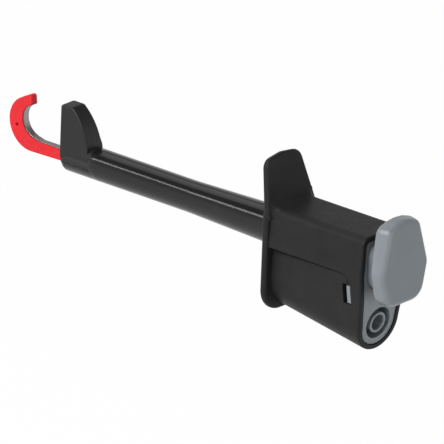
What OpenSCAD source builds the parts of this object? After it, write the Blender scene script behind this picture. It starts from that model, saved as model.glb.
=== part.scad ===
// Grabber test hook with a sprung thumb plunger and a shrouded 4 mm socket.
// X runs along the barrel from the jaw face to the thumb button, Z is up.
// The origin is on the barrel axis at the nose guard's front face.
// The hook is drawn fully out, with the thumb button pressed.

/* [Barrel] */
// Outside diameter of the straight barrel
barrel_d = 7.85; // [7.4:0.05:8.6]
// Bore of the barrel
barrel_bore = 5.8; // [5.75:0.05:6]
// Diameter of the flared barrel root at the finger guard
barrel_root_d = 9.6; // [9.2:0.1:11]
// Length of the flare in front of the finger guard
flare_len = 30; // [15:1:40]
// Distance from the jaw face to the finger guard's front face
guard_x = 71.7; // [60:0.1:95]

/* [Nose guard] */
// Height of the blade above the barrel axis
nose_h = 13.2; // [12:0.1:16]
// Width of the blade at its top
nose_top_w = 4.4; // [3.8:0.1:5]
// Width of the blade at the barrel axis
nose_axis_w = 5.75; // [5.4:0.05:6.2]
// Length of the blade along the barrel at its base
nose_len = 9.3; // [8:0.1:11]
// Radius of the blade's curved rear edge
nose_rear_r = 14.4; // [14:0.1:20]

/* [Hook] */
// Radius of the hook's outer bend
hook_outer_r = 6.9; // [6.7:0.05:7.2]
// Radius of the hook's inner bend
hook_inner_r = 4.2; // [3.9:0.05:4.4]
// Thickness of the hook across
hook_w = 2.1; // [1.8:0.05:2.3]
// Height of the shank's underside below the barrel axis
shank_low = 2.04; // [1.8:0.02:2.1]
// Height of the shank's top above the barrel axis
shank_top = 1; // [0.8:0.05:1.1]
// Thickness of the metal strip
core_t = 0.7; // [0.5:0.05:0.9]
// Width of the metal strip
core_w = 1.7; // [1.4:0.05:1.75]
// Travel of the hook and the plunger
travel = 10.6; // [6:0.1:10.7]

/* [Finger guard] */
// Thickness of the finger guard
guard_t = 1.8; // [1.6:0.1:2.4]
// Height of the guard's upright above the barrel axis
guard_top = 19.4; // [17:0.1:22]
// Forward lean of the guard's upright
guard_lean = 12.4; // [8:0.2:16]
// Depth of the guard below the barrel axis
guard_low = 18.7; // [18.5:0.1:21]

/* [Handle housing] */
// Height of the housing's flat top above the barrel axis
housing_top = 7.8; // [7.6:0.1:9]
// Greatest width of the housing
housing_w = 16; // [15.6:0.1:17]
// Wall thickness
wall = 1.3; // [1.2:0.05:1.6]
// Length from the finger guard to the upper rear face
housing_len = 31.6; // [31:0.1:35]
// Depth of the side grip recess next to the guard
grip_depth = 1.8; // [1:0.1:2]

/* [Socket] */
// Distance of the socket's mouth in front of the upper rear face
socket_set_in = 1.4; // [1:0.1:2]
// Depth of the socket's mouth below the barrel axis
socket_drop = 15.8; // [15.6:0.1:17]
// Downward tilt of the socket's axis
socket_tilt = 9.2; // [7:0.1:9.6]
// Bore of the contact tube
contact_bore = 4.04; // [4.02:0.01:4.1]
// Outside diameter of the contact tube
contact_d = 5.3; // [5.2:0.05:5.6]
// Diameter of the recess for the plug's sleeve
shroud_bore = 8.1; // [8:0.05:8.4]

/* [Plunger] */
// Diameter of the pull rod
rod_d = 3; // [2.6:0.05:3.1]
// Width of the plunger stem
stem_w = 9.9; // [9:0.1:10.2]
// Height of the plunger stem
stem_h = 11.5; // [10.5:0.1:11.8]
// Gap between the end cap and the pressed thumb button
button_gap = 3.1; // [2.5:0.1:5]
// Thickness of the thumb button
button_t = 4.1; // [3.6:0.1:5]
// Greatest width of the thumb button
button_w = 16.4; // [14:0.1:18]
// Height of the thumb button above the barrel axis
button_top = 12.5; // [10:0.1:13]
// Depth of the thumb button below the barrel axis
button_low = 8.7; // [8.5:0.1:10]
// Wire diameter of the return spring
wire_d = 0.5; // [0.4:0.05:0.55]
// Turns of the return spring
spring_turns = 11; // [6:1:14]

/* [Hidden] */
$fn = 96;
slide_gap = 0.2;
run_gap = 0.05;
seat_gap = 0.03;
cap_gap = 0.15;
blend_sink = 0.03;
edge_r = 0.7;
soft_fn = 32;
far = 60;

nose_flare = 6;
nose_belly_drop = 0.4;
nose_belly_lean = 25;
nose_step = (barrel_d - nose_axis_w) / 2;
barrel_x0 = nose_len + sqrt(2 * nose_flare * nose_step - pow(nose_step, 2)) + slide_gap;
nose_spigot = 3.5;
nose_arc_z = 2;
nose_round = 0.8;
nose_end_len = 2;
nose_end_d = 4.4;
nose_draft = atan((nose_axis_w - nose_top_w) / 2 / nose_h);

hook_arm_angle = 27.5;
hook_shank_angle = 28;
hook_bend_x = -11.3;
bend_drop = 0.3;
hook_bend_z = hook_outer_r - shank_low - bend_drop;
hook_eye_x = -9.35;
hook_eye_z = 5.65;
tip_x = -10.7;
tip_round = 1.1;
core_tip_inset = 0.9;
lip_drop = 0.15;
heel_round = 1.3;
pin_hole_d = 1;
pin_hole_x = -15.6;
pin_hole_z = 3.5;
hook_foot_rise = hook_eye_z - hook_inner_r * cos(hook_shank_angle) - shank_top;
hook_foot_x = hook_eye_x - hook_inner_r * sin(hook_shank_angle) + hook_foot_rise / tan(hook_shank_angle);
slot_low = shank_low + bend_drop + slide_gap;
slot_top = shank_top + slide_gap + max(0, hook_foot_x + travel) * tan(hook_shank_angle);

ferrule_x0 = barrel_x0 + nose_spigot + 1.5;
ferrule_len = 9;
ferrule_pocket = 4;
ferrule_d = barrel_bore - 0.5;
shank_x1 = ferrule_x0 + ferrule_pocket;
rod_x0 = ferrule_x0 + ferrule_pocket + 1;
sleeve_d = 4.4;
sleeve_x0 = ferrule_x0 + ferrule_len;
bush_gap = 1;

guard_side_w = housing_w + 0.5;
guard_low_w = housing_w + 2.5;
guard_low_r = 5.5;
guard_fin_w = 12.5;
guard_fin_r = 2.8;
guard_arch = 0.45;
front_wall = 1.9;
cavity_x0 = guard_x + guard_t + front_wall;
root_gap = 0.02;
spigot_d = barrel_root_d - 1;
ring_t = 1;
ring_d = spigot_d + 0.8;
ring_gap = 0.15;
groove_d = spigot_d - 1.2;
barrel_x1 = cavity_x0 + ring_t + 0.6;
bush_flange = 1;
bush_x0 = sleeve_x0 + 0.62 * (barrel_x1 - sleeve_x0);
block_x0 = barrel_x1 + bush_flange;
block_len = 4;
block_x1 = block_x0 + block_len;
block_d = 8.4;
lug_w = 3.8;
lug_low = 6.9;

rear_x = guard_x + housing_len;
socket_x = rear_x - socket_set_in;
belly_r = housing_w / 2 - 1;
belly_draft = 6;
side_z = -2;
side_draft = 6.6;
top_r = 2.4;
cap_sink = 0.35;
cap_t = 2.2;
shroud_gap = 0.1;
shroud_depth = 17;
shroud_end = 2;
collar_len = 2.2;
collar_lip = 0.55;
neck_d = contact_d - 0.58;
contact_solid = 1.2;
tail_len = 4.5;
strip_t = 0.9;
strip_w = 3.6;
rivet_d = 1.5;
tail_rivet = shroud_depth + shroud_end + tail_len - 1.6;

grip_top = -2;
grip_low = -13.4;
grip_low_rear = -11.5;
grip_x1 = socket_x - 2.4;
grip_r = 3;
grip_fade = 0.3;
grip_lean = 6.2;
grip_groove = 0.35;
window_x = socket_x - 3.2;
window_len = 2.5;
window_z = -7;
window_h = 5.1;
tab_t = 1.1;
tab_h = window_h - 0.6;
tab_len = rear_x - cap_sink - cap_t / 2 - window_x;
tab_rise = (window_z - tab_h / 2 + socket_drop) * cos(socket_tilt) - (socket_x - window_x) * sin(socket_tilt);
tab_y = min(housing_w / 2 - wall / cos(side_draft), (belly_r - wall) / cos(belly_draft)
    + tab_rise * tan(belly_draft)) - cap_gap;
shroud_d = 2 * min(cavity_half(socket_x - shroud_depth - shroud_end), belly_r - wall) - 2 * shroud_gap;

stem_mid = -0.35;
stem_r = 3.1;
button_x0 = rear_x + button_gap;
stop_z = stem_mid - stem_h / 2;
stop_t = 2.2;
stop_rim = 0.75;
stop_x1 = min(rear_x - cap_sink - cap_t, socket_x - (cap_sink + cap_t) / cos(socket_tilt)
    + (socket_drop + stop_z - stop_rim) * tan(socket_tilt)) - travel - slide_gap;
stop_x0 = stop_x1 - stop_t;
spring_bore = 5.1;
spring_depth = 6.4;
spring_x0 = block_x1;
spring_x1 = stop_x0 + spring_depth;
coil_r = 2.15;
stem_pin_d = 1.5;
stem_pin_x = spring_x1 + 3.4;
rod_x1 = stem_pin_x + 1.8;
tenon_w = 4.2;
tenon_h = 8;
tenon_len = 1.9;
button_edge = 1.5;
button_rim_t = 1.6;
button_rim_r = 0.5;
button_pinch = 0.5;
button_waist = 0.3;
button_heel = 0.15;
button_corner_in = 4.2;
button_corner_drop = 0.8;
button_crown_in = 6;
button_crown_drop = 0.2;
button_heel_in = 5.6;
button_shoulder_z = 0.2;
button_side_r = 4;
button_top_r = 2.4;
button_low_r = 4.4;

// Extrudes a Y-Z outline along X
module along_x(x0, x1) {
    translate([x0, 0, 0]) rotate([90, 0, 90]) linear_extrude(x1 - x0) children();
}

// Extrudes an X-Z outline across Y, centred
module across_y(w) {
    translate([0, w / 2, 0]) rotate([90, 0, 0]) linear_extrude(w) children();
}

// Round bar along X
module bar_x(x0, x1, d) {
    translate([x0, 0, 0]) rotate([0, 90, 0]) cylinder(h = x1 - x0, d = d);
}

// Solid turned about the X axis from an outline of radius and place
module turned() {
    rotate([0, 90, 0]) rotate_extrude() children();
}

// Places children on the tilted socket axis, with the socket's mouth at the origin
module on_socket_axis() {
    translate([socket_x, 0, -socket_drop]) rotate([0, socket_tilt, 0]) children();
}

// Upright slot shape with round ends
module obround(w, h) {
    square([w, h - w], center = true);
    for (side = [-1, 1]) translate([0, side * (h - w) / 2]) circle(d = w);
}

// Upright oblong with rounded corners
module soft_oblong(w, h, r) {
    square([w - 2 * r, h], center = true);
    square([w, h - 2 * r], center = true);
    for (y = [-1, 1], z = [-1, 1]) translate([y * (w / 2 - r), z * (h / 2 - r)]) circle(r);
}

// Disc with rounded edges, lying across X
module soft_disc(y, z, r, t, round) {
    translate([0, y, z]) rotate([0, 90, 0]) rotate_extrude($fn = soft_fn) intersection() {
        square([r, t]);
        union() {
            translate([0, round]) square([r, t - 2 * round]);
            square([r - round, t]);
            for (level = [round, t - round]) translate([r - round, level]) circle(r = round, $fn = soft_fn);
        }
    }
}

// Handle section: flat top with rounded edges and slightly drafted sides
module upper_section(inset) {
    half = housing_w / 2 - inset / cos(side_draft);
    top = housing_top - inset;
    r = max(top_r - inset, 0.3);
    centre_z = top - r;
    centre_y = half - (centre_z - side_z) * tan(side_draft) - r / cos(side_draft);
    tangent = [centre_y + r * cos(side_draft), centre_z + r * sin(side_draft)];
    for (side = [-1, 1]) translate([side * centre_y, centre_z]) circle(r);
    polygon([[centre_y, top], [-centre_y, top], [-tangent.x, tangent.y], [-half, side_z], [-half, -far],
        [half, -far], [half, side_z], [tangent.x, tangent.y]]);
}

// Handle section across the socket's axis: round belly and drafted flanks
module belly_section(inset) {
    r = belly_r - inset;
    foot = (r - blend_sink) * [cos(belly_draft), -sin(belly_draft)];
    head = foot.x + (far - foot.y) * tan(belly_draft);
    circle(r);
    polygon([[foot.x, foot.y], [head, far], [-head, far], [-foot.x, foot.y]]);
}

// Handle body: its rear is square to the barrel above and square to the socket's axis below
module handle_body(inset, x0, rear) {
    intersection() {
        along_x(x0, rear_x + rear) upper_section(inset);
        on_socket_axis() along_x(-far, rear) belly_section(inset);
    }
}

// Half-width of the grip recess floor at a place along the handle
function grip_floor(x) = housing_w / 2 - grip_fade
    - (grip_depth - grip_fade) * (grip_x1 - x) / (grip_x1 - guard_x - guard_t);

// Outline of the grip recess seen from the side
module grip_outline() {
    x0 = guard_x + guard_t;
    translate([grip_x1 - grip_r, grip_top - grip_r]) circle(grip_r);
    polygon([[x0, grip_top], [grip_x1 - grip_r, grip_top], [grip_x1, grip_top - grip_r],
        [grip_x1, grip_low_rear], [x0, grip_low]]);
}

// Grip recess: deepest under its top edge, running out in the flank below
module grip_recess() {
    x0 = guard_x + guard_t;
    x1 = grip_x1 + 1;
    intersection() {
        across_y(far) grip_outline();
        for (side = [0, 1]) mirror([0, side, 0]) translate([0, 0, grip_top]) rotate([grip_lean, 0, 0])
            translate([0, 0, -far / 2]) linear_extrude(far)
                polygon([[x0, grip_floor(x0)], [x1, grip_floor(x1)], [x1, far / 4], [x0, far / 4]]);
    }
    for (side = [0, 1]) mirror([0, side, 0]) translate([x0, grip_floor(x0), grip_top])
        rotate([0, 0, atan2(grip_floor(grip_x1) - grip_floor(x0), grip_x1 - x0)])
            along_x(0, grip_x1 - grip_r - x0)
            polygon([[grip_groove, 0], [-grip_groove, 0], [0, -grip_groove], [grip_groove, -grip_groove]]);
}

// Half-width of the space behind the grip recesses at a place along the handle
function cavity_half(x) = let (front = ring_d / 2 + ring_gap, rear = grip_floor(grip_x1) - wall)
    front + (rear - front) * (x - cavity_x0) / (grip_x1 - cavity_x0);

// Space inside the handle, narrowing towards the guard behind the grip recesses
module handle_cavity() {
    x1 = socket_x + far / 4;
    front = cavity_half(cavity_x0);
    rear = cavity_half(grip_x1);
    intersection() {
        handle_body(wall, cavity_x0, far / 4);
        translate([0, 0, -far / 2]) linear_extrude(far)
            polygon([[cavity_x0, front], [grip_x1, rear], [grip_x1, housing_w], [x1, housing_w],
                [x1, -housing_w], [grip_x1, -housing_w], [grip_x1, -rear], [cavity_x0, -front]]);
    }
}

module finger_guard() {
    side_r = 2;
    fin_h = guard_top - housing_top;
    translate([guard_x, 0, 0]) hull() for (side = [-1, 1]) {
        soft_disc(side * (guard_side_w / 2 - side_r), housing_top - side_r, side_r, guard_t, edge_r);
        soft_disc(side * (guard_low_w / 2 - guard_low_r), guard_low_r - guard_low, guard_low_r, guard_t, edge_r);
    }
    translate([guard_x, 0, housing_top]) rotate([0, -guard_lean, 0]) hull() {
        for (side = [-1, 1]) {
            soft_disc(side * (guard_side_w / 2 - side_r), -side_r, side_r, guard_t, edge_r);
            soft_disc(side * (guard_fin_w / 2 - guard_fin_r), fin_h - guard_fin_r - guard_arch,
                guard_fin_r, guard_t, edge_r);
        }
        soft_disc(0, fin_h - guard_fin_r, guard_fin_r, guard_t, edge_r);
    }
}

module housing_shell() color("#1d1e20") difference() {
    union() {
        handle_body(0, guard_x + guard_t / 2, 0);
        finger_guard();
    }
    handle_cavity();
    grip_recess();
    bar_x(guard_x - 1, cavity_x0 + 1, spigot_d + 2 * root_gap);
    translate([window_x, 0, window_z]) cube([window_len, far, window_h], center = true);
}

module barrel_tube() color("#202123") difference() {
    turned() polygon([[barrel_bore / 2, barrel_x0], [barrel_d / 2, barrel_x0],
        [barrel_d / 2, guard_x - flare_len], [barrel_root_d / 2, guard_x], [spigot_d / 2, guard_x],
        [spigot_d / 2, barrel_x1], [barrel_bore / 2, barrel_x1]]);
    difference() {
        bar_x(cavity_x0, cavity_x0 + ring_t, far / 2);
        bar_x(cavity_x0 - 1, cavity_x0 + ring_t + 1, groove_d);
    }
}

// Side view of the blade: square front, curved rear edge
module nose_side() {
    intersection() {
        union() {
            square([nose_len, nose_h - nose_round]);
            translate([nose_round, nose_h - 2 * nose_round]) square([nose_len, 2 * nose_round]);
            translate([nose_round, nose_h - nose_round]) circle(nose_round);
        }
        union() {
            translate([nose_len - nose_rear_r, nose_arc_z]) circle(nose_rear_r);
            square([nose_len, nose_arc_z]);
        }
    }
}

// Material beside the blade: a drafted flank, a steeper face below and a hollow that runs out behind
module nose_flank_waste() {
    half = nose_axis_w / 2;
    intersection() {
        translate([0, half, 0]) rotate([nose_draft, 0, 0]) translate([0, 0, -far / 2]) linear_extrude(far) {
            translate([-1, 0]) square([nose_len + 1, barrel_d]);
            translate([nose_len, nose_flare]) circle(nose_flare);
        }
        along_x(-2, nose_len + 2 * nose_flare) translate([half, -nose_belly_drop]) polygon([[-half, far / 2],
            [-half, barrel_d / 8], [-barrel_d / 8 * tan(nose_belly_lean), barrel_d / 8],
            [barrel_d * tan(nose_belly_lean), -barrel_d], [far / 2, -barrel_d], [far / 2, far / 2]]);
    }
}

// Corner taken off below the jaw face, leaving a domed barrel end
module nose_end_waste() {
    rise = (pow(barrel_d / 2, 2) - pow(nose_end_d / 2, 2)) / nose_end_len;
    dome_x = (rise + nose_end_len) / 2;
    difference() {
        translate([-1, -far / 2, -far / 2]) cube([1 + dome_x, far, far / 2]);
        translate([dome_x, 0, 0]) sphere(norm([dome_x, nose_end_d / 2]));
    }
}

module nose_guard() color("#1f2022") difference() {
    union() {
        across_y(barrel_d - slide_gap) nose_side();
        bar_x(0, barrel_x0, barrel_d);
        bar_x(barrel_x0 - 1, barrel_x0 + nose_spigot, barrel_bore - 2 * seat_gap);
    }
    for (side = [0, 1]) mirror([0, side, 0]) nose_flank_waste();
    translate([-1, -hook_w / 2 - slide_gap, -slot_low]) cube([far, hook_w + 2 * slide_gap, slot_low + slot_top]);
    nose_end_waste();
}

module barrel_ring() color("silver") difference() {
    bar_x(cavity_x0, cavity_x0 + ring_t, ring_d);
    bar_x(cavity_x0 - 1, cavity_x0 + ring_t + 1, groove_d + 2 * seat_gap);
    translate([cavity_x0 - 1, -groove_d / 4, 0]) cube([ring_t + 2, groove_d / 2, far]);
}

module rod_bush() color("#d8d4c8") difference() {
    union() {
        bar_x(bush_x0, barrel_x1, barrel_bore - 2 * seat_gap);
        bar_x(barrel_x1, block_x0, block_d);
    }
    bar_x(bush_x0 - 1, block_x0 + 1, rod_d + 2 * run_gap);
}

module contact_block() color("#c9a24a") difference() {
    union() {
        bar_x(block_x0, block_x1, block_d);
        translate([block_x0, -lug_w / 2, -lug_low]) cube([block_len, lug_w, lug_low - rod_d]);
    }
    bar_x(block_x0 - 1, block_x1 + 1, rod_d + 2 * run_gap);
    translate([block_x0 - 1, -strip_t / 2 - seat_gap, -far - rod_d])
        cube([block_len + 2, strip_t + 2 * seat_gap, far]);
    lug_rivet_place() cylinder(h = far, d = rivet_d + 2 * seat_gap, center = true);
}

module lug_rivet_place() {
    translate([block_x0 + block_len / 2, 0, rivet_d - lug_low]) rotate([90, 0, 0]) children();
}

module tail_rivet_place() {
    on_socket_axis() translate([-tail_rivet, 0, 0]) rotate([90, 0, 0]) children();
}

function lug_rivet_xz() = [block_x0 + block_len / 2, rivet_d - lug_low];
function tail_rivet_xz() =
    [socket_x - tail_rivet * cos(socket_tilt), tail_rivet * sin(socket_tilt) - socket_drop];

module bus_strip() color("#c9a24a") {
    top = lug_rivet_xz();
    low = tail_rivet_xz();
    lean = atan2(top.x - low.x, top.y - low.y);
    difference() {
        translate([(top.x + low.x) / 2, 0, (top.y + low.y) / 2]) rotate([0, lean, 0]) across_y(strip_t)
            obround(strip_w, norm(top - low) + strip_w);
        lug_rivet_place() cylinder(h = far, d = rivet_d + 2 * seat_gap, center = true);
        tail_rivet_place() cylinder(h = far, d = rivet_d + 2 * seat_gap, center = true);
    }
}

module bus_rivet(grip) {
    head_d = rivet_d + 0.9;
    head_t = 0.4;
    cylinder(h = grip, d = rivet_d, center = true);
    for (side = [-1, 1]) translate([0, 0, side * (grip + head_t) / 2])
        cylinder(h = head_t, d = head_d, center = true);
}

module bus_rivets() color("#b8935a") {
    lug_rivet_place() bus_rivet(lug_w);
    tail_rivet_place() bus_rivet(contact_d - 1.6);
}

// Nibs on the end cap's tabs, standing in the side windows just below the flanks
module latch_nibs() {
    intersection() {
        handle_body(cap_gap, cavity_x0, 0);
        for (side = [0, 1]) mirror([0, side, 0]) translate([window_x, tab_y - tab_t / 2, window_z - tab_h / 2])
            cube([window_len / 2 - cap_gap, housing_w, tab_h]);
    }
}

module end_cap() color("#72787b") difference() {
    union() {
        difference() {
            handle_body(wall + cap_gap, cavity_x0, -cap_sink);
            handle_body(wall + cap_gap - 1, cavity_x0 - 1, -cap_sink - cap_t);
        }
        on_socket_axis() bar_x(-shroud_depth - shroud_end, -cap_sink - cap_t / 2, shroud_d);
        for (side = [-1, 1]) translate([window_x, side * (tab_y - tab_t / 2) - tab_t / 2, window_z - tab_h / 2])
            cube([tab_len, tab_t, tab_h]);
        latch_nibs();
    }
    along_x(cavity_x0, rear_x + far) translate([0, stem_mid])
        soft_oblong(stem_w + 2 * slide_gap, stem_h + 2 * slide_gap, stem_r + slide_gap);
    on_socket_axis() {
        bar_x(-shroud_depth, far, shroud_bore);
        bar_x(-far, far, contact_d + 2 * seat_gap);
    }
}

module socket_contact() color("#cfc9b6") on_socket_axis() difference() {
    solid_end = -shroud_depth - shroud_end;
    union() {
        bar_x(solid_end - tail_len, -cap_sink - collar_len, contact_d);
        bar_x(-shroud_depth, -cap_sink - collar_lip, neck_d);
        bar_x(-shroud_depth, 1 - shroud_depth, contact_d + 1.2);
    }
    bar_x(solid_end + contact_solid, far, contact_bore);
    translate([solid_end - tail_len - 1, -strip_t / 2 - seat_gap, -contact_d])
        cube([tail_len + 1 - 0.3, strip_t + 2 * seat_gap, 2 * contact_d]);
    for (side = [-1, 1])
        translate([solid_end - tail_len - 1, side * contact_d - contact_d / 2 - side * 0.8, -contact_d])
        cube([tail_len + 0.6, contact_d, 2 * contact_d]);
    translate([-tail_rivet, 0, 0]) rotate([90, 0, 0])
        cylinder(h = far, d = rivet_d + 2 * seat_gap, center = true);
}

module socket_collar() color("#84898b") on_socket_axis() difference() {
    bar_x(-cap_sink - collar_len, -cap_sink, contact_d);
    bar_x(-far, -cap_sink - collar_lip, neck_d + 2 * seat_gap);
    bar_x(-far, far, contact_bore);
}

// Space inside the hook, grown outwards by the strip's thickness for the strip's seat
module hook_eye(grow, w) {
    r = hook_inner_r + grow;
    eye = [hook_eye_x, hook_eye_z];
    arm = eye + (r - blend_sink) * [-sin(hook_arm_angle), cos(hook_arm_angle)];
    foot = eye - (r - blend_sink) * [sin(hook_shank_angle), cos(hook_shank_angle)];
    floor_z = shank_top - grow;
    heel = [foot.x + (foot.y - floor_z) / tan(hook_shank_angle), floor_z];
    across_y(w) translate(eye) circle(r);
    across_y(w) polygon([arm, arm + far * [cos(hook_arm_angle), sin(hook_arm_angle)], [far, floor_z],
        heel + [heel_round, 0], heel + heel_round * [-cos(hook_shank_angle), sin(hook_shank_angle)], foot]);
}

// Whole hook: round bend, straight shank and a rising arm with a blunt tip
module hook_body() {
    bend = [hook_bend_x, hook_bend_z];
    arm = bend + (hook_outer_r - blend_sink) * [-sin(hook_arm_angle), cos(hook_arm_angle)];
    tip = [tip_x, arm.y + (tip_x - arm.x) * tan(hook_arm_angle)];
    blunt = tip - [tip_round, tip_round * tan(hook_arm_angle)];
    difference() {
        union() {
            across_y(hook_w) translate(bend) circle(hook_outer_r);
            across_y(hook_w) polygon([[hook_bend_x, -shank_low - bend_drop], [0, -shank_low], [shank_x1, -shank_low],
                [shank_x1, shank_top], [hook_bend_x, shank_top]]);
            across_y(hook_w) polygon([arm, blunt, [tip_x, blunt.y], [tip_x, hook_bend_z], bend]);
        }
        hook_eye(0, far);
        translate([tip_x, -far / 2, hook_eye_z]) cube(far);
    }
}

// Room beside the hook's inner edge, which stops short of the hook's tip
module strip_room(depth, w) {
    difference() {
        hook_eye(depth, w);
        translate([tip_x - core_tip_inset, -far / 2, hook_eye_z]) cube(far);
    }
}

module hook_cover() color("#fb303c") difference() {
    hook_body();
    strip_room(core_t, core_w + 2 * seat_gap);
    strip_room(lip_drop, far);
    translate([pin_hole_x, 0, pin_hole_z]) rotate([90, 0, 0]) cylinder(h = far, d = pin_hole_d, center = true);
}

module hook_core() color("#b9bcbe") intersection() {
    hook_body();
    strip_room(core_t, core_w);
}

module shank_ferrule() color("#b3b5b7") difference() {
    bar_x(ferrule_x0, ferrule_x0 + ferrule_len, ferrule_d);
    translate([ferrule_x0 - 1, -hook_w / 2 - seat_gap, -shank_low - seat_gap])
        cube([ferrule_pocket + 1, hook_w + 2 * seat_gap, shank_low + shank_top + 2 * seat_gap]);
    bar_x(rod_x0, ferrule_x0 + ferrule_len + 1, rod_d + 2 * seat_gap);
}

module rod_sleeve() color("#e4e1d8") difference() {
    bar_x(sleeve_x0, bush_x0 - travel - bush_gap, sleeve_d);
    bar_x(sleeve_x0 - 1, bush_x0, rod_d + 2 * seat_gap);
}

module pull_rod() color("#b9bcbe") difference() {
    bar_x(rod_x0, rod_x1, rod_d);
    stem_pin_place() cylinder(h = far, d = stem_pin_d + 2 * seat_gap, center = true);
}

module stem_pin_place() {
    translate([stem_pin_x, 0, 0]) rotate([90, 0, 0]) children();
}

module stem_pin() color("silver") stem_pin_place() cylinder(h = stem_w - 0.2, d = stem_pin_d, center = true);

module plunger_stem() color("#6f7578") difference() {
    union() {
        along_x(stop_x0, button_x0) translate([0, stem_mid]) soft_oblong(stem_w, stem_h, stem_r);
        along_x(stop_x0, stop_x1) translate([0, stem_mid])
            soft_oblong(stem_w, stem_h + 2 * stop_rim, stem_r);
        along_x(button_x0 - 1, button_x0 + tenon_len) translate([0, stem_mid]) obround(tenon_w, tenon_h);
    }
    bar_x(stop_x0 - 1, spring_x1, spring_bore);
    bar_x(stop_x0 - 1, rod_x1 + 0.5, rod_d + 2 * seat_gap);
    stem_pin_place() cylinder(h = far, d = stem_pin_d + 2 * seat_gap, center = true);
}

// Discs that give the thumb button's outline, narrower at the shoulders, fuller below or pinched above
module button_discs(t, round, waist, heel, pinch) {
    half = button_w / 2;
    high = button_top - button_top_r;
    for (side = [-1, 1]) {
        soft_disc(side * (half - button_side_r - waist), button_shoulder_z, button_side_r, t, round);
        soft_disc(side * (half - button_corner_in - pinch), high - button_corner_drop, button_top_r, t, round);
        soft_disc(side * (half - button_crown_in - pinch), high - button_crown_drop, button_top_r, t, round);
        soft_disc(side * (half - button_heel_in), button_low_r - button_low, button_low_r + heel, t, round);
    }
    soft_disc(0, high, button_top_r, t, round);
}

module thumb_button() color("#73797c") difference() {
    translate([button_x0, 0, 0]) hull() {
        button_discs(button_t, button_edge, 0, 0, button_pinch);
        button_discs(button_rim_t, button_rim_r, button_waist, button_heel, 0);
    }
    along_x(button_x0 - 1, button_x0 + tenon_len + seat_gap) translate([0, stem_mid])
        obround(tenon_w + 2 * seat_gap, tenon_h + 2 * seat_gap);
}

// Points of the spring's wire: close end turns and an even pitch between them
function coil_place(t) = let (end = 0.75 * wire_d + slide_gap / 2)
    t < 1 ? spring_x0 + end + wire_d * t
    : t > spring_turns - 1 ? spring_x1 - end - wire_d * (spring_turns - t)
    : spring_x0 + end + wire_d
        + (t - 1) / (spring_turns - 2) * (spring_x1 - spring_x0 - 2 * end - 2 * wire_d);

module return_spring() color("#c4c7c9") {
    steps = 20;
    sides = 6;
    count = steps * spring_turns;
    points = [for (i = [0:count]) let (angle = 360 * i / steps, x = coil_place(i / steps))
        for (k = [0:sides - 1]) let (turn = 360 * k / sides, r = coil_r + wire_d / 2 * cos(turn))
            [x + wire_d / 2 * sin(turn), r * cos(angle), r * sin(angle)]];
    walls = [for (i = [0:count - 1]) for (k = [0:sides - 1])
        [i * sides + k, i * sides + (k + 1) % sides, (i + 1) * sides + (k + 1) % sides, (i + 1) * sides + k]];
    ends = [[for (k = [sides - 1:-1:0]) k], [for (k = [0:sides - 1]) count * sides + k]];
    polyhedron(points, concat(walls, ends));
}

housing_shell();
barrel_tube();
nose_guard();
barrel_ring();
rod_bush();
contact_block();
bus_strip();
bus_rivets();
end_cap();
socket_contact();
socket_collar();
hook_cover();
hook_core();
shank_ferrule();
rod_sleeve();
pull_rod();
plunger_stem();
stem_pin();
thumb_button();
return_spring();
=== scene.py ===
import math

import bmesh
import bpy
from mathutils import Matrix, Vector


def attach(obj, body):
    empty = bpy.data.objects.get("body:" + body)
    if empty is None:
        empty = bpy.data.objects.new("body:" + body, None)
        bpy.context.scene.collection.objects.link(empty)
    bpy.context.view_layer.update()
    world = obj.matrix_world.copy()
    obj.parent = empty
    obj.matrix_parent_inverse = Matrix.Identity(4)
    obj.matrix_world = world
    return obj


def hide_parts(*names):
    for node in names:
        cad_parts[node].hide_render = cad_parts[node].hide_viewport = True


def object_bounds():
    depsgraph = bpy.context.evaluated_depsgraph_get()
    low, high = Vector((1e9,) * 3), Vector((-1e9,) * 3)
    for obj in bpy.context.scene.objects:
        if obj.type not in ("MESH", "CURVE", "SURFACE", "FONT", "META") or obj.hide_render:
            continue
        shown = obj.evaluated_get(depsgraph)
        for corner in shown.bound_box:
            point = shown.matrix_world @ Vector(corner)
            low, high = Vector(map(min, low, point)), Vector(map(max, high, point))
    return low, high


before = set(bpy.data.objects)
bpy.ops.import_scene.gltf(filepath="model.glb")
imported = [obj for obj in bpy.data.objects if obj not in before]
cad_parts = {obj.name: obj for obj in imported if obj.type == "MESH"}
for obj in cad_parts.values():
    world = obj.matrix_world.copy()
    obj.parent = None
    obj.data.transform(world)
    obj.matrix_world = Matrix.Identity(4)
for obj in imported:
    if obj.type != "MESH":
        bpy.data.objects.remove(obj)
cad_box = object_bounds()

bl_info = {
    "name": "Grabber Test Hook",
    "version": (1, 0, 0),
    "blender": (4, 5, 0),
    "location": "View3D > Sidebar > Test Hook",
    "description": "Softens the mouldings of a grabber test hook and gives every piece its finish",
    "category": "Object",
}

MM = 0.001
HANDLE = "handle"
PLUNGER = "plunger"
CIRCLE_POINTS = 128
FACING_ALONG_X = (0, math.radians(90), 0)

# Places and angles of the solids, in millimetres and degrees
HOOK_EYE = Vector((-9.35, 0, 5.65))
HOOK_EYE_R = 4.2
GUARD_REAR_X = 73.5
GUARD_LEAN = 12.4
HOUSING_TOP = 7.8
SOCKET_Z = -15.8
SOCKET_TILT = 9.2

finishes = {}


def length(label, about, value):
    """Property for a length that is given in millimetres"""
    return bpy.props.FloatProperty(
        name=label, description=about, default=value * MM, unit="LENGTH", precision=5)


def colour(label, about, value):
    """Property for a colour"""
    return bpy.props.FloatVectorProperty(
        name=label, description=about, subtype="COLOR", size=3, default=value, min=0, max=1)


def angle(label, about, value):
    """Property for an angle that is given in degrees"""
    return bpy.props.FloatProperty(
        name=label, description=about, default=math.radians(value), subtype="ANGLE")


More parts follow.
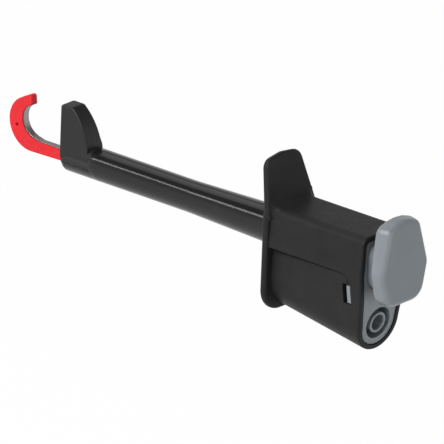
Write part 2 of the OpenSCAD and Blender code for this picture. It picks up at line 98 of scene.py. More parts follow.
class TestHookEdges(bpy.types.PropertyGroup):
    """How far the edges of each moulding are rounded"""

    nose: length("Nose guard", "Rounding of the blade's edges", 0.5)
    housing: length("Housing", "Rounding of the edges of the grip recesses", 0.3)
    grip: length("Grip edge", "Radius of the rolled edge along the top of the grip recesses", 0.2)
    rim: length("Housing rim", "Rounding of the rim round the end cap", 0.55)
    blend: length("Guard blend", "Radius of the hollow between the guard and the housing's top", 3.0)
    hook: length("Hook", "Rounding of the hook's insulation", 0.24)
    tip: length("Hook tip", "Rounding of the end of the hook's arm", 0.5)
    strip: length("Hook strip", "Rounding of the metal strip", 0.08)
    socket: length("Socket collar", "Rounding of the collar at the mouth of the socket", 0.15)


class TestHookColours(bpy.types.PropertyGroup):
    """Colours of the finishes"""

    black: colour("Glossy black", "Barrel and nose guard", (0.0085, 0.0085, 0.0087))
    charcoal: colour("Grained black", "Handle housing", (0.0165, 0.0165, 0.0168))
    grey: colour("Grey moulding", "End cap, stem, collar and button", (0.180, 0.202, 0.218))
    red: colour("Red insulation", "The hook's insulation", (0.62, 0.0130, 0.021))
    natural: colour("Natural plastic", "The bush and the sleeve", (0.72, 0.69, 0.62))
    nickel: colour("Nickel plate", "The strip and the small metal pieces", (0.31, 0.305, 0.30))
    contact: colour("Dull tin plate", "The socket's contact tube", (0.50, 0.51, 0.52))
    steel: colour("Spring steel", "The return spring", (0.48, 0.49, 0.50))
    brass: colour("Brass", "The contact block, the strip inside and its rivets", (0.62, 0.43, 0.17))


class TestHookStage(bpy.types.PropertyGroup):
    """Camera, floor and light"""

    azimuth: angle("Camera turn", "Camera's angle about the upright axis", 43.2)
    elevation: angle("Camera height", "Camera's angle above the barrel", 21.7)
    width: length("View width", "Width that the picture takes in", 105.71)
    floor_drop: length("Floor drop", "Distance from the object's lowest point to the floor", 90)


def only(piece):
    """Selects one piece and makes it the active one"""
    bpy.ops.object.select_all(action="DESELECT")
    piece.select_set(True)
    bpy.context.view_layer.objects.active = piece


def join(piece, parts):
    """Joins parts to a piece"""
    only(piece)
    for part in parts:
        part.select_set(True)
    bpy.ops.object.join()


def choose_points(piece, chosen):
    """Opens a piece in edit mode with only the points selected that a test picks by their place"""
    only(piece)
    bpy.ops.object.mode_set(mode="EDIT")
    bpy.ops.mesh.select_mode(type="VERT")
    bpy.ops.mesh.select_all(action="DESELECT")
    bpy.ops.object.mode_set(mode="OBJECT")
    for point in piece.data.vertices:
        point.select = chosen(point.co / MM)
    bpy.ops.object.mode_set(mode="EDIT")


def apply_modifier(piece, kind, **settings):
    """Adds a modifier with its settings to a piece and applies it"""
    only(piece)
    modifier = piece.modifiers.new(kind.lower(), kind)
    for name, value in settings.items():
        setattr(modifier, name, value)
    bpy.ops.object.modifier_apply(modifier=modifier.name)


def merged_copy(node, name):
    """Copies a node's mesh, joins its loose triangles and clears the lines across flat faces"""
    same_point, flat = 0.002, 0.4
    piece = bpy.data.objects.new(name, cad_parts[node].data.copy())
    piece.data.name = name
    piece.data.materials.clear()
    bpy.context.scene.collection.objects.link(piece)
    only(piece)
    bpy.ops.object.mode_set(mode="EDIT")
    bpy.ops.mesh.select_all(action="SELECT")
    bpy.ops.mesh.remove_doubles(threshold=same_point * MM)
    bpy.ops.mesh.customdata_custom_splitnormals_clear()
    bpy.ops.mesh.dissolve_limited(angle_limit=math.radians(flat))
    bpy.ops.object.mode_set(mode="OBJECT")
    return piece


def fold(edge):
    """Angle between the two faces at an edge, in degrees"""
    return math.degrees(edge.calc_face_angle(0.0))


def sharper_than(limit):
    """Test that picks the edges that fold by more than a limit in degrees"""
    return lambda edge: fold(edge) > limit


def middle(edge):
    """Middle of an edge in millimetres"""
    return (edge.verts[0].co + edge.verts[1].co) / (2 * MM)


def round_chosen(piece, width, chosen, segments=4):
    """Bevels the edges of a piece that a test picks by their place"""
    only(piece)
    bpy.ops.object.mode_set(mode="EDIT")
    bpy.ops.mesh.select_mode(type="EDGE")
    bpy.ops.mesh.select_all(action="DESELECT")
    shape = bmesh.from_edit_mesh(piece.data)
    picked = [edge for edge in shape.edges if edge.is_manifold and chosen(edge)]
    for edge in picked:
        edge.select_set(True)
    bmesh.update_edit_mesh(piece.data)
    if not picked:
        raise RuntimeError("no edge to round on " + piece.name)
    bpy.ops.mesh.bevel(offset=width, segments=segments, profile=0.5, affect="EDGES", clamp_overlap=False,
                       loop_slide=True, miter_outer="ARC")
    bpy.ops.object.mode_set(mode="OBJECT")


def round_weighted(piece, width, share, segments=4):
    """Bevels the edges of a piece by the share of a width that a function gives each of them"""
    shape = bmesh.new()
    shape.from_mesh(piece.data)
    weights = [share(edge) if edge.is_manifold else 0.0 for edge in shape.edges]
    shape.free()
    if not any(weights):
        raise RuntimeError("no edge to round on " + piece.name)
    layer = piece.data.attributes.new("bevel_weight_edge", "FLOAT", "EDGE")
    layer.data.foreach_set("value", weights)
    apply_modifier(piece, "BEVEL", width=width, segments=segments, limit_method="WEIGHT",
                   miter_outer="MITER_ARC", use_clamp_overlap=False, loop_slide=True)


def keep_inside(piece, node):
    """Draws back the corners that a bevel pushed out of the node's own shape"""
    apply_modifier(piece, "SHRINKWRAP", target=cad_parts[node], wrap_method="NEAREST_SURFACEPOINT",
                   wrap_mode="INSIDE")


def smooth(piece, limit=35):
    """Shades a piece smoothly, apart from the edges that fold by more than a limit in degrees"""
    only(piece)
    bpy.ops.object.shade_smooth_by_angle(angle=math.radians(limit))
    apply_modifier(piece, "WEIGHTED_NORMAL", keep_sharp=True)


def seat(piece, body, slot, material, *nodes):
    """Gives a finished piece its material, its body and the nodes that it stands for"""
    piece.data.materials.clear()
    piece.data.materials.append(material)
    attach(piece, body)
    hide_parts(*nodes)


def new_material(name):
    """Makes a material and gives its nodes, its shader and its place in the object's own frame"""
    material = bpy.data.materials.new(name)
    material.use_nodes = True
    tree = material.node_tree
    shader = tree.nodes["Principled BSDF"]
    place = tree.nodes.new("ShaderNodeTexCoord")
    return material, tree, shader, place.outputs["Object"]


def map_range(tree, value, start, end, low, high, kind="LINEAR"):
    """Maps a value from the range between start and end to the range between low and high"""
    ramp = tree.nodes.new("ShaderNodeMapRange")
    ramp.interpolation_type = kind
    ramp.inputs["From Min"].default_value = start
    ramp.inputs["From Max"].default_value = end
    ramp.inputs["To Min"].default_value = low
    ramp.inputs["To Max"].default_value = high
    tree.links.new(value, ramp.inputs["Value"])
    return ramp.outputs["Result"]


def calculate(tree, operation, first, second):
    """Puts two values through a math node"""
    node = tree.nodes.new("ShaderNodeMath")
    node.operation = operation
    tree.links.new(first, node.inputs[0])
    tree.links.new(second, node.inputs[1])
    return node.outputs["Value"]


def noise(tree, place, scale, detail, stretch=None):
    """Adds a noise pattern, drawn out along some axes where a stretch is given"""
    if stretch:
        mapping = tree.nodes.new("ShaderNodeMapping")
        mapping.inputs["Scale"].default_value = stretch
        tree.links.new(place, mapping.inputs["Vector"])
        place = mapping.outputs["Vector"]
    texture = tree.nodes.new("ShaderNodeTexNoise")
    texture.inputs["Scale"].default_value = scale
    texture.inputs["Detail"].default_value = detail
    tree.links.new(place, texture.inputs["Vector"])
    return texture.outputs["Fac"]


def spread(tree, value, low, high):
    """Maps a pattern's middle range to a range of values"""
    middle_start, middle_end = 0.3, 0.7
    return map_range(tree, value, middle_start, middle_end, low, high)


def tint(tree, value, base, change):
    """Mixes a slightly darker and a slightly lighter colour by a pattern"""
    mix = tree.nodes.new("ShaderNodeMix")
    mix.data_type = "RGBA"
    # The mix node holds a set of sockets for each kind of value, and these are the colour's
    factor, darker, lighter, result = mix.inputs[0], mix.inputs[6], mix.inputs[7], mix.outputs[2]
    darker.default_value = [c * (1 - change) for c in base] + [1]
    lighter.default_value = [min(1, c * (1 + change)) for c in base] + [1]
    tree.links.new(value, factor)
    return result


def grain(tree, shader, value, strength, depth):
    """Gives a surface a fine relief from a pattern"""
    bump = tree.nodes.new("ShaderNodeBump")
    bump.inputs["Strength"].default_value = strength
    bump.inputs["Distance"].default_value = depth
    tree.links.new(value, bump.inputs["Height"])
    tree.links.new(bump.outputs["Normal"], shader.inputs["Normal"])


def moulded(name, base, rough, specular, relief, change=0.12, polish=None):
    """Moulded plastic: faint mottling, uneven gloss, a fine tool grain and perhaps a polished part"""
    mottle_scale, gloss_scale, grain_scale = 160, 700, 5200
    gloss_change, grain_depth = 0.08, 0.02
    material, tree, shader, place = new_material(name)
    mottle = spread(tree, noise(tree, place, mottle_scale, detail=4), 0, 1)
    tree.links.new(tint(tree, mottle, base, change), shader.inputs["Base Color"])
    uneven = noise(tree, place, gloss_scale, detail=3)
    gloss = spread(tree, uneven, rough * (1 - gloss_change), rough * (1 + gloss_change))
    if polish:
        gloss = polish_part(tree, place, gloss, **polish)
    tree.links.new(gloss, shader.inputs["Roughness"])
    grain(tree, shader, noise(tree, place, grain_scale, detail=2), relief, grain_depth * MM)
    shader.inputs["Specular IOR Level"].default_value = specular
    return material


def polish_part(tree, place, gloss, behind, below, share):
    """Lowers a roughness to a share of itself behind a place along X, and below a height"""
    split = tree.nodes.new("ShaderNodeSeparateXYZ")
    tree.links.new(place, split.inputs["Vector"])
    rear, low = [map_range(tree, split.outputs[axis], start * MM, end * MM, 1.0, share)
                 for axis, (start, end) in (("X", behind), ("Z", below))]
    return calculate(tree, "MULTIPLY", gloss, calculate(tree, "MINIMUM", rear, low))


def paint_ring_shade(material, centre, inner, outer, share):
    """Paints shade into a colour: darkens it to a share of itself towards the inside of a ring that lies
    across Y
    """
    tree = material.node_tree
    shader = tree.nodes["Principled BSDF"]
    place = tree.nodes.new("ShaderNodeTexCoord")
    shift = tree.nodes.new("ShaderNodeMapping")
    shift.inputs["Location"].default_value = -centre * MM
    tree.links.new(place.outputs["Object"], shift.inputs["Vector"])
    flat = tree.nodes.new("ShaderNodeVectorMath")
    flat.operation = "MULTIPLY"
    flat.inputs[1].default_value = (1, 0, 1)
    tree.links.new(shift.outputs["Vector"], flat.inputs[0])
    reach = tree.nodes.new("ShaderNodeVectorMath")
    reach.operation = "LENGTH"
    tree.links.new(flat.outputs["Vector"], reach.inputs[0])
    # Painted shade: the colour is full outside the ring and falls to the share towards its inside
    shade = map_range(tree, reach.outputs["Value"], inner * MM, outer * MM, share, 1.0, "SMOOTHSTEP")
    darker = tree.nodes.new("ShaderNodeVectorMath")
    darker.operation = "SCALE"
    tree.links.new(shader.inputs["Base Color"].links[0].from_socket, darker.inputs[0])
    tree.links.new(shade, darker.inputs["Scale"])
    tree.links.new(darker.outputs["Vector"], shader.inputs["Base Color"])


def drawn_metal(name, base, rough, stretch):
    """Plated or drawn metal: fine lines along the piece and uneven gloss"""
    line_scale, cloud_scale, change = 1500, 260, 0.1
    smoother, rougher, relief, line_depth = 0.05, 0.08, 0.12, 0.01
    material, tree, shader, place = new_material(name)
    lines = noise(tree, place, line_scale, detail=3, stretch=stretch)
    cloud = spread(tree, noise(tree, place, cloud_scale, detail=3), 0, 1)
    tree.links.new(tint(tree, cloud, base, change), shader.inputs["Base Color"])
    tree.links.new(spread(tree, lines, rough - smoother, rough + rougher), shader.inputs["Roughness"])
    grain(tree, shader, lines, relief, line_depth * MM)
    shader.inputs["Metallic"].default_value = 1.0
    return material


def make_finishes(colours):
    """Makes the finishes of all pieces"""
    barrel_round = {"behind": (10.2, 10.6), "below": (0.3, -1.4), "share": 0.37}
    finishes["polished"] = moulded(
        "Polished black moulding", colours.black, rough=0.17, specular=0.34, relief=0.01)
    finishes["nose"] = moulded(
        "Satin black moulding", colours.black, rough=0.46, specular=0.34, relief=0.02, polish=barrel_round)
    finishes["grained"] = moulded(
        "Grained black moulding", colours.charcoal, rough=0.47, specular=0.11, relief=0.2)
    finishes["grey"] = moulded(
        "Grey moulding", colours.grey, rough=0.36, specular=0.45, relief=0.06, change=0.03)
    finishes["red"] = moulded(
        "Red insulation", colours.red, rough=0.42, specular=0.22, relief=0.08, change=0.04)
    # Painted shade: the red darkens along the inner edge of the hook's eye, next to the metal strip, where
    # shade falls
    paint_ring_shade(finishes["red"], HOOK_EYE, inner=HOOK_EYE_R, outer=4.75, share=0.45)
    finishes["natural"] = moulded(
        "Natural plastic", colours.natural, rough=0.38, specular=0.4, relief=0.10, change=0.04)
    finishes["nickel"] = drawn_metal("Nickel plate", colours.nickel, rough=0.42, stretch=(0.25, 1, 1))
    finishes["contact"] = drawn_metal("Dull tin plate", colours.contact, rough=0.55, stretch=(0.25, 1, 1))
    finishes["steel"] = drawn_metal("Spring steel", colours.steel, rough=0.26, stretch=(1, 1, 1))
    finishes["brass"] = drawn_metal("Brass", colours.brass, rough=0.27, stretch=(1, 0.3, 1))


class TESTHOOK_OT_finishes(bpy.types.Operator):
    """Make the materials of all pieces"""

    bl_idname = "test_hook.finishes"
    bl_label = "Make Finishes"

    def execute(self, context):
        make_finishes(context.scene.test_hook_colours)
        return {"FINISHED"}


class TESTHOOK_OT_barrel(bpy.types.Operator):
    """Make the long polished barrel with its flared root"""

    bl_idname = "test_hook.barrel"
    bl_label = "Make Barrel"

    def execute(self, context):
        piece = merged_copy("barrel_tube", "barrel")
        smooth(piece)
        seat(piece, HANDLE, "black_moulding", finishes["polished"], "barrel_tube")
        return {"FINISHED"}


def nose_root():
    """Makes the round collar that carries the barrel's line forward to the blade"""
    front, rear, radius, wall = 10.5, 12.88, 3.932, 1.1
    edge_r, near, crease = 0.2, 0.1, 60

    def on_front(edge):
        at = middle(edge)
        return fold(edge) > crease and at.x < front + near and at.yz.length > radius - near

    bpy.ops.object.select_all(action="DESELECT")
    bpy.ops.mesh.primitive_cylinder_add(
        vertices=CIRCLE_POINTS, radius=radius * MM, depth=(rear - front) * MM, end_fill_type="NOTHING",
        location=((front + rear) / 2 * MM, 0, 0), rotation=FACING_ALONG_X)
    piece = bpy.context.object
    piece.name = "nose_root"
    bpy.ops.object.transform_apply(location=True, rotation=True, scale=True)
    apply_modifier(piece, "SOLIDIFY", thickness=wall * MM, offset=-1)
    round_chosen(piece, edge_r * MM, on_front, segments=3)
    smooth(piece)
    return piece


def nose_belly():
    """Makes the round belly that carries the barrel's underside forward below the blade"""
    radius, rear, wall, near = 3.934, 11.2, 0.6, 0.01
    # The sides lean in from the brim of the round to the blade's flanks
    brim, rise, lean_in = -0.65, 1.6, 0.71
    # Place along X, and the share of the full width and height, of each ring towards the jaw face
    rings = ((2.6, 1.0, 1.0), (1.9, 0.97, 0.98), (1.35, 0.91, 0.94), (0.95, 0.81, 0.88), (0.65, 0.66, 0.79))
    bpy.ops.object.select_all(action="DESELECT")
    bpy.ops.mesh.primitive_circle_add(
        vertices=CIRCLE_POINTS, radius=radius * MM, location=(rear * MM, 0, 0), rotation=FACING_ALONG_X)
    piece = bpy.context.object
    piece.name = "nose_belly"
    bpy.ops.object.transform_apply(location=True, rotation=True, scale=True)
    choose_points(piece, lambda at: at.z > brim)
    bpy.ops.mesh.delete(type="VERT")
    bpy.ops.object.mode_set(mode="OBJECT")
    top = max(point.co.z for point in piece.data.vertices) / MM
    choose_points(piece, lambda at: at.z > top - near)
    bpy.ops.mesh.extrude_region_move(TRANSFORM_OT_translate={"value": (0, 0, rise * MM)})
    bpy.ops.transform.resize(value=(1, lean_in, 1), center_override=(rear * MM, 0, 0))
    bpy.ops.mesh.select_all(action="SELECT")
    last_x, last_w, last_h = rear, 1.0, 1.0
    for x, w, h in rings:
        bpy.ops.mesh.extrude_region_move(TRANSFORM_OT_translate={"value": ((x - last_x) * MM, 0, 0)})
        bpy.ops.transform.resize(value=(1, w / last_w, h / last_h), center_override=(x * MM, 0, 0))
        last_x, last_w, last_h = x, w, h
    bpy.ops.mesh.select_all(action="SELECT")
    bpy.ops.mesh.normals_make_consistent(inside=False)
    bpy.ops.object.mode_set(mode="OBJECT")
    if sum(face.normal.yz.dot(face.center.yz) for face in piece.data.polygons) < 0:
        bpy.ops.object.mode_set(mode="EDIT")
        bpy.ops.mesh.flip_normals()
        bpy.ops.object.mode_set(mode="OBJECT")
    apply_modifier(piece, "SOLIDIFY", thickness=wall * MM, offset=-1)
    smooth(piece, limit=60)
    return piece


class TESTHOOK_OT_nose(bpy.types.Operator):
    """Make the bladed nose guard with soft edges and a round belly"""

    bl_idname = "test_hook.nose"
    bl_label = "Make Nose Guard"

    def execute(self, context):
        edges = context.scene.test_hook_edges
        slot_half, slot_top = 1.4, 8
        front_x, front_foot, rear_foot, crease = 0.3, 0.3, 4.7, 24

        def on_blade(edge):
            at = middle(edge)
            if fold(edge) < crease or (at.z < slot_top and abs(at.y) < slot_half):
                return False
            return at.z > (front_foot if at.x < front_x else rear_foot)

        piece = merged_copy("nose_guard", "nose")
        round_chosen(piece, edges.nose, on_blade, segments=5)
        keep_inside(piece, "nose_guard")
        smooth(piece, limit=42)
        join(piece, [nose_root(), nose_belly()])
        seat(piece, HANDLE, "black_moulding", finishes["nose"], "nose_guard")
        return {"FINISHED"}


def rear_normal(low):
    """Direction in which the housing's rear face looks, above and below its bend"""
    tilt = math.radians(SOCKET_TILT) if low else 0.0
    return Vector((math.cos(tilt), 0, -math.sin(tilt)))


def on_outer_rim(edge):
    """Picks the outer edge of the rim round the end cap"""
    rim_x, straight_top, crease = 98, 5.0, 40
    square, aside = 0.99, 0.1
    at = middle(edge)
    if at.x < rim_x or fold(edge) < crease:
        return False
    outward = Vector((0, at.y, at.z - max(SOCKET_Z, min(straight_top, at.z))))
    faces = edge.link_faces
    ends = [f for f in faces if max(f.normal.dot(rear_normal(low)) for low in (True, False)) > square]
    sides = [f for f in faces if f not in ends and f.normal.dot(outward) > aside]
    return bool(ends and sides)


def on_recess_lip(edge):
    """Picks the edge where a flank turns into the grip recess"""
    front, rear, low, high = 73.6, 99.45, -4.42, -1.95
    flank, crease = 7.95, 80
    at = middle(edge)
    if not (front < at.x < rear and low < at.z < high):
        return False
    return edge.is_convex and fold(edge) > crease and abs(at.y) > flank


def grip_edge(side, radius):
    """Makes the rolled edge along the top of a grip recess, half sunk in its leaning floor"""
    path = ((74.4, -3.25), (80, -2.93), (88, -2.62), (95.5, -2.42),
            (97, -2.5), (98, -2.9), (98.7, -3.5), (99, -4.3))
    floor_half, floor_top, widening, lean = 6.27, -2.35, 0.0584, 0.111
    curve = bpy.data.curves.new("grip_edge", "CURVE")
    curve.dimensions = "3D"
    curve.bevel_depth = radius
    curve.bevel_resolution = 3
    curve.use_fill_caps = True
    line = curve.splines.new("POLY")
    line.points.add(len(path) - 1)
    for point, (x, z) in zip(line.points, path):
        floor_y = floor_half + (x - GUARD_REAR_X) * widening - (z - floor_top) * lean
        point.co = (x * MM, side * floor_y * MM, z * MM, 1)
    piece = bpy.data.objects.new("grip_edge", curve)
    bpy.context.scene.collection.objects.link(piece)
    only(piece)
    bpy.ops.object.convert(target="MESH")
    return bpy.context.object


def guard_blend(radius):
    """Makes the hollow that carries the housing's top up into the guard's upright"""
    lean = math.radians(GUARD_LEAN)
    foot_x, edge_y, sink, arc, tiny = 73.543, 7.5, 0.4, 12, 0.01
    corner_r = 2.4
    corner_y, corner_z = 4.73, HOUSING_TOP - corner_r
    first_turn, turn_step = 83, 7
    turns = [math.radians(a) for a in (*range(first_turn, 0, -turn_step), 0)]
    path = [(-1, t) for t in turns] + [(1, t) for t in reversed(turns)]
    bpy.ops.object.select_all(action="DESELECT")
    bpy.ops.mesh.primitive_grid_add(x_subdivisions=arc, y_subdivisions=len(path) - 1, size=1)
    piece = bpy.context.object
    piece.name = "guard_blend"
    face = Vector((math.cos(lean), 0, math.sin(lean)))
    rows = arc + 1
    for row, (side, turn) in enumerate(path):
        r = min(radius / MM, (edge_y - corner_y) / max(math.sin(turn), tiny) - corner_r)
        out = Vector((0, side * math.sin(turn), math.cos(turn)))
        y = side * corner_y + out.y * (corner_r + r)
        z = corner_z + out.z * (corner_r + r)
        x = foot_x + (r - math.sin(lean) * (z - HOUSING_TOP)) / math.cos(lean)
        for column in range(rows):
            way = out.slerp(face, column / arc)
            piece.data.vertices[row * rows + column].co = (Vector((x, y, z)) - way * r) * MM
    only(piece)
    bpy.ops.object.mode_set(mode="EDIT")
    bpy.ops.mesh.select_all(action="SELECT")
    bpy.ops.mesh.extrude_region_move(TRANSFORM_OT_translate={"value": (-sink * MM, 0, -sink * MM)})
    bpy.ops.mesh.select_all(action="SELECT")
    bpy.ops.mesh.normals_make_consistent(inside=False)
    bpy.ops.object.mode_set(mode="OBJECT")
    return piece


class TESTHOOK_OT_housing(bpy.types.Operator):
    """Make the handle housing with its finger guard, grip recesses and windows"""

    bl_idname = "test_hook.housing"
    bl_label = "Make Housing"

    def execute(self, context):
        edges = context.scene.test_hook_edges
        piece = merged_copy("housing_shell", "housing")
        round_chosen(piece, edges.rim, on_outer_rim, segments=5)
        round_chosen(piece, edges.housing, on_recess_lip)
        smooth(piece)
        parts = [guard_blend(edges.blend), grip_edge(-1, edges.grip), grip_edge(1, edges.grip)]
        for part in parts:
            smooth(part, limit=60)
        join(piece, parts)
        seat(piece, HANDLE, "black_moulding", finishes["grained"], "housing_shell")
        return {"FINISHED"}


class TESTHOOK_OT_hook(bpy.types.Operator):
    """Make the insulated hook and the metal strip inside its bend"""

    bl_idname = "test_hook.hook"
    bl_label = "Make Hook"

    def execute(self, context):
        edges = context.scene.test_hook_edges
        bend = Vector((-11.3, 0, 4.56))
        flank, bend_r, end_x, arm_z, crease, sideways = 1.04, 6.5, -10.9, 10.3, 30, 0.5

        def share(edge):
            at = middle(edge)
            if fold(edge) < crease:
                return 0.0
            if at.x > end_x and at.z > arm_z:
                return 1.0
            across = [f for f in edge.link_faces if abs(f.normal.y) < sideways]
            outward = across and across[0].normal.dot(at - HOOK_EYE) > 0
            outer = abs(at.y) > flank and (at - bend).length > bend_r
            return edges.hook / edges.tip if outward and outer else 0.0

        cover = merged_copy("hook_cover", "hook_insulation")
        round_weighted(cover, edges.tip, share)
        keep_inside(cover, "hook_cover")
        smooth(cover)
        seat(cover, PLUNGER, "red_insulation", finishes["red"], "hook_cover")
        core = merged_copy("hook_core", "hook_strip")
        round_chosen(core, edges.strip, sharper_than(40), segments=3)
        smooth(core)
        seat(core, PLUNGER, "nickel_plate", finishes["nickel"], "hook_core")
        return {"FINISHED"}


class TESTHOOK_OT_cap(bpy.types.Operator):
    """Make the grey end cap with its socket tube and snap tabs"""

    bl_idname = "test_hook.cap"
    bl_label = "Make End Cap"

    def execute(self, context):
        piece = merged_copy("end_cap", "cap")
        smooth(piece)
        seat(piece, HANDLE, "grey_moulding", finishes["grey"], "end_cap")
        return {"FINISHED"}


class TESTHOOK_OT_socket(bpy.types.Operator):
    """Make the contact tube of the socket and the collar at its mouth"""

    bl_idname = "test_hook.socket"
    bl_label = "Make Socket"

    def execute(self, context):
        contact = merged_copy("socket_contact", "contact")
        smooth(contact)
        seat(contact, HANDLE, "nickel_plate", finishes["contact"], "socket_contact")
        collar = merged_copy("socket_collar", "collar")
        round_chosen(collar, context.scene.test_hook_edges.socket, sharper_than(60), segments=3)
        smooth(collar)
        seat(collar, HANDLE, "grey_moulding", finishes["grey"], "socket_collar")
        return {"FINISHED"}


class TESTHOOK_OT_plunger(bpy.types.Operator):
    """Make the plunger's stem and the thumb button"""

    bl_idname = "test_hook.plunger"
    bl_label = "Make Plunger"

    def execute(self, context):
        stem = merged_copy("plunger_stem", "stem")
        smooth(stem)
        seat(stem, PLUNGER, "grey_moulding", finishes["grey"], "plunger_stem")
        button = merged_copy("thumb_button", "button")
        smooth(button, limit=40)
        seat(button, PLUNGER, "grey_moulding", finishes["grey"], "thumb_button")
        return {"FINISHED"}


class TESTHOOK_OT_works(bpy.types.Operator):
    """Give the pieces inside the barrel and the housing their finish"""

    bl_idname = "test_hook.works"
    bl_label = "Finish Inner Pieces"

    def execute(self, context):
        inside = {
            "nickel": ("barrel_ring", "shank_ferrule", "pull_rod", "stem_pin"),
            "natural": ("rod_bush", "rod_sleeve"),
            "brass": ("contact_block", "bus_strip", "bus_rivets"),
            "steel": ("return_spring",),
        }
        for finish, nodes in inside.items():
            for node in nodes:
                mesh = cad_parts[node].data
                mesh.materials.clear()
                mesh.materials.append(finishes[finish])
        return {"FINISHED"}


class TESTHOOK_OT_stage(bpy.types.Operator):
    """Make the pale floor, the soft light and the camera"""

    bl_idname = "test_hook.stage"
    bl_label = "Make Stage"

    def execute(self, context):
        stage = context.scene.test_hook_stage
        make_floor(stage)
        make_world()
        make_lights()
        make_camera(stage)
        context.scene.view_settings.view_transform = "Standard"
        return {"FINISHED"}


def seen_ray(tree):
    """One for rays that show the background, in the picture or in a reflection"""
    path = tree.nodes.new("ShaderNodeLightPath")
    seen = calculate(tree, "MAXIMUM", path.outputs["Is Camera Ray"], path.outputs["Is Glossy Ray"])
    return calculate(tree, "MAXIMUM", seen, path.outputs["Is Transmission Ray"])


def make_floor(stage):
    """Makes a pale matt floor that shows as almost white"""
    side, mottle_scale, matt = 6.0, 3, 0.9
    pale, change, white = (0.9, 0.9, 0.9), 0.01, 0.97
    bpy.ops.object.select_all(action="DESELECT")
    bpy.ops.mesh.primitive_plane_add(size=side, location=(0, 0, cad_box[0][2] - stage.floor_drop))
    floor = bpy.context.object
    floor.name = "floor"
    material, tree, shader, place = new_material("Pale floor")
    mottle = noise(tree, place, mottle_scale, detail=2)
    tree.links.new(tint(tree, mottle, pale, change), shader.inputs["Base Color"])
    shader.inputs["Roughness"].default_value = matt
    shader.inputs["Specular IOR Level"].default_value = 0.0
    glow = tree.nodes.new("ShaderNodeEmission")
    mix = tree.nodes.new("ShaderNodeMixShader")
    tree.links.new(map_range(tree, seen_ray(tree), 0.0, 1.0, 0.0, white), mix.inputs["Fac"])
    tree.links.new(shader.outputs["BSDF"], mix.inputs[1])
    tree.links.new(glow.outputs["Emission"], mix.inputs[2])
    tree.links.new(mix.outputs["Shader"], tree.nodes["Material Output"].inputs["Surface"])
    floor.data.materials.append(material)


def make_world():
    """White round the horizon, with a darker ceiling"""
    ceiling_low, ceiling_high, ceiling_shade = 0.1, 0.7, 0.15
    light_strength, shown_strength = 0.5, 1.0
    world = bpy.data.worlds.new("Studio")
    bpy.context.scene.world = world
    world.use_nodes = True
    tree = world.node_tree
    way = tree.nodes.new("ShaderNodeTexCoord")
    split = tree.nodes.new("ShaderNodeSeparateXYZ")
    tree.links.new(way.outputs["Generated"], split.inputs["Vector"])
    ceiling = map_range(
        tree, split.outputs["Z"], ceiling_low, ceiling_high, 1.0, ceiling_shade, "SMOOTHSTEP")
    soft = tree.nodes["Background"]
    soft.inputs["Strength"].default_value = light_strength
    seen = tree.nodes.new("ShaderNodeBackground")
    seen.inputs["Strength"].default_value = shown_strength
    mix = tree.nodes.new("ShaderNodeMixShader")
    for background in (soft, seen):
        tree.links.new(ceiling, background.inputs["Color"])
    tree.links.new(seen_ray(tree), mix.inputs["Fac"])
    tree.links.new(soft.outputs["Background"], mix.inputs[1])
    tree.links.new(seen.outputs["Background"], mix.inputs[2])
    tree.links.new(mix.outputs["Shader"], tree.nodes["World Output"].inputs["Surface"])


def add_light(name, direction, distance, size, power):
    """Adds a soft lamp that looks at the middle of the barrel, with its long side along the barrel"""
    target = Vector((45, 0, 0)) * MM
    lamp = bpy.data.lights.new(name, "AREA")
    lamp.shape = "RECTANGLE"
    lamp.size, lamp.size_y = size
    lamp.energy = power
    light = bpy.data.objects.new(name, lamp)
    bpy.context.scene.collection.objects.link(light)
    back = Vector(direction).normalized()
    along = (Vector((1, 0, 0)) - back * back.x).normalized()
    turn = Matrix((along, back.cross(along), back)).transposed().to_4x4()
    turn.translation = target + back * distance
    light.matrix_world = turn


def make_lights():
    """Makes the lamps: a strip that draws the barrel's highlight, a large key and three fills"""
    add_light("strip", (-0.64, -0.50, 0.59), distance=0.8, size=(0.40, 0.05), power=0.8)
    add_light("soft_key", (0.05, -0.72, 0.69), distance=1.2, size=(0.8, 0.8), power=14.6)
    add_light("overhead", (-0.64, 0.25, 0.72), distance=1.0, size=(0.6, 0.55), power=1.1)
    add_light("rear_fill", (0.95, 0.05, 0.05), distance=1.2, size=(0.5, 0.5), power=2.6)
    add_light("rim", (-0.29, -0.53, 0.83), distance=1.0, size=(0.25, 0.25), power=1.2)


def make_camera(stage):
    """Makes a far camera with a long lens, for a view with almost no perspective"""
    target = Vector((50.96, 0.0, -3.95)) * MM
    turn, rise = stage.azimuth, stage.elevation
    way = Vector((math.sin(turn) * math.cos(rise), -math.cos(turn) * math.cos(rise), math.sin(rise)))
    lens = bpy.data.cameras.new("camera")
    lens.sensor_width = 36.0
    lens.lens = 1500.0
    camera = bpy.data.objects.new("camera", lens)
    bpy.context.scene.collection.objects.link(camera)
    distance = stage.width * lens.lens / lens.sensor_width
    camera.location = target + way * distance
    camera.rotation_euler = way.to_track_quat("Z", "Y").to_euler()
    bpy.context.scene.camera = camera


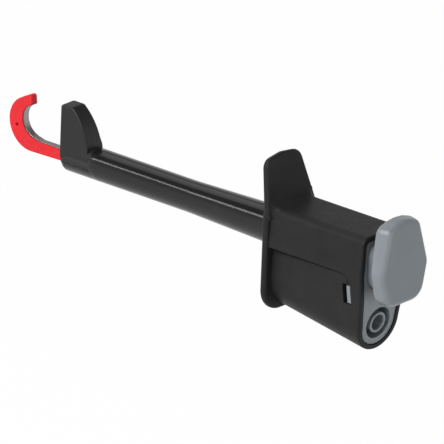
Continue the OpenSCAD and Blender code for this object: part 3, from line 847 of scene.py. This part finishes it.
class TESTHOOK_PT_panel(bpy.types.Panel):
    """Sizes, colours and steps of the test hook"""

    bl_label = "Test Hook"
    bl_idname = "TESTHOOK_PT_panel"
    bl_space_type = "VIEW_3D"
    bl_region_type = "UI"
    bl_category = "Test Hook"

    def draw(self, context):
        """Lists the settings and then the steps"""
        scene = context.scene
        for group in (scene.test_hook_edges, scene.test_hook_colours, scene.test_hook_stage):
            box = self.layout.box()
            for name in group.__annotations__:
                box.prop(group, name)
        for step in STEPS:
            self.layout.operator(step.bl_idname)


STEPS = (
    TESTHOOK_OT_finishes,
    TESTHOOK_OT_barrel,
    TESTHOOK_OT_nose,
    TESTHOOK_OT_housing,
    TESTHOOK_OT_hook,
    TESTHOOK_OT_cap,
    TESTHOOK_OT_socket,
    TESTHOOK_OT_plunger,
    TESTHOOK_OT_works,
    TESTHOOK_OT_stage,
)
GROUPS = (TestHookEdges, TestHookColours, TestHookStage)


def register():
    """Registers the classes and keeps their settings on the scene"""
    for item in GROUPS + STEPS + (TESTHOOK_PT_panel,):
        bpy.utils.register_class(item)
    bpy.types.Scene.test_hook_edges = bpy.props.PointerProperty(type=TestHookEdges)
    bpy.types.Scene.test_hook_colours = bpy.props.PointerProperty(type=TestHookColours)
    bpy.types.Scene.test_hook_stage = bpy.props.PointerProperty(type=TestHookStage)


def unregister():
    """Takes the settings and the classes away again"""
    del bpy.types.Scene.test_hook_stage
    del bpy.types.Scene.test_hook_colours
    del bpy.types.Scene.test_hook_edges
    for item in reversed(GROUPS + STEPS + (TESTHOOK_PT_panel,)):
        bpy.utils.unregister_class(item)


def main():
    """Makes the finishes, the pieces and the stage"""
    register()
    bpy.ops.test_hook.finishes()
    bpy.ops.test_hook.barrel()
    bpy.ops.test_hook.nose()
    bpy.ops.test_hook.housing()
    bpy.ops.test_hook.hook()
    bpy.ops.test_hook.cap()
    bpy.ops.test_hook.socket()
    bpy.ops.test_hook.plunger()
    bpy.ops.test_hook.works()
    bpy.ops.test_hook.stage()


if __name__ == "__main__":
    main()
